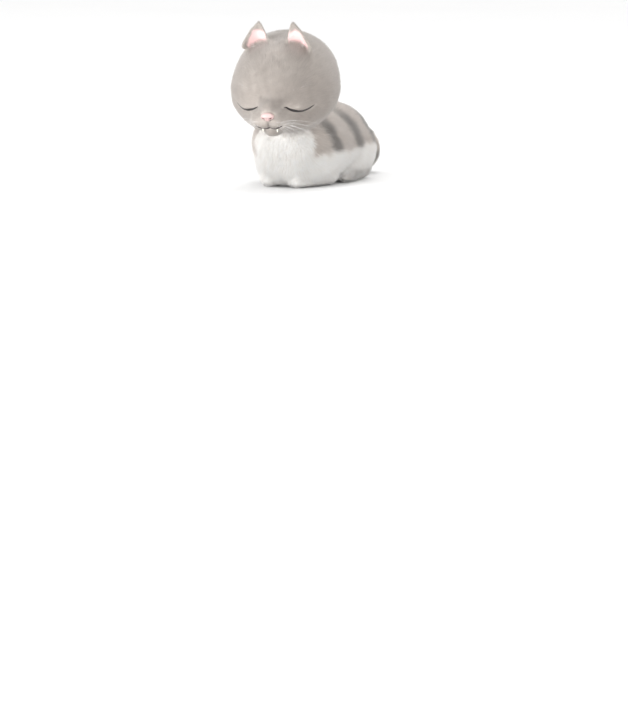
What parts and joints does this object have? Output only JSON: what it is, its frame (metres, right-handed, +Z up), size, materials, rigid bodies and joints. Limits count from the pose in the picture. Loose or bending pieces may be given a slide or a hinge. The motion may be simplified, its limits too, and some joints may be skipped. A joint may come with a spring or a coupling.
{
  "type": "domestic cat",
  "caption": "Life-size still model of a young domestic cat asleep in the loaf pose: head bowed, eyes closed, paws tucked under, tail round its side.",
  "frame": {"origin": "on the floor, in the middle of the flat under the belly", "axes": "+Z up, -Y the way the body faces, +X the cat's own left side"},
  "size_m": [0.1086, 0.2131, 0.1501],
  "materials": {
    "coat_grey": "soft short fur, pale warm grey with darker tabby bands on the back",
    "coat_white": "soft short fur, white",
    "skin_pink": "moist fine-grained bare skin",
    "tooth_white": "glossy enamel"
  },
  "bodies": {
    "root": {"head": "coat_grey", "jaw": "coat_grey", "nose": "skin_pink", "neck": "coat_grey", "trunk": "coat_grey", "tail_root": "coat_grey", "tail_middle": "coat_grey", "tail_tip": "coat_grey", "eye_left": "coat_grey", "eye_right": "coat_grey", "ear_left": "coat_grey", "ear_right": "coat_grey", "canine_left": "tooth_white", "canine_right": "tooth_white", "foreleg_left": "coat_white", "foreleg_right": "coat_white", "hindleg_left": "coat_white", "hindleg_right": "coat_white"}
  },
  "joints": []
}
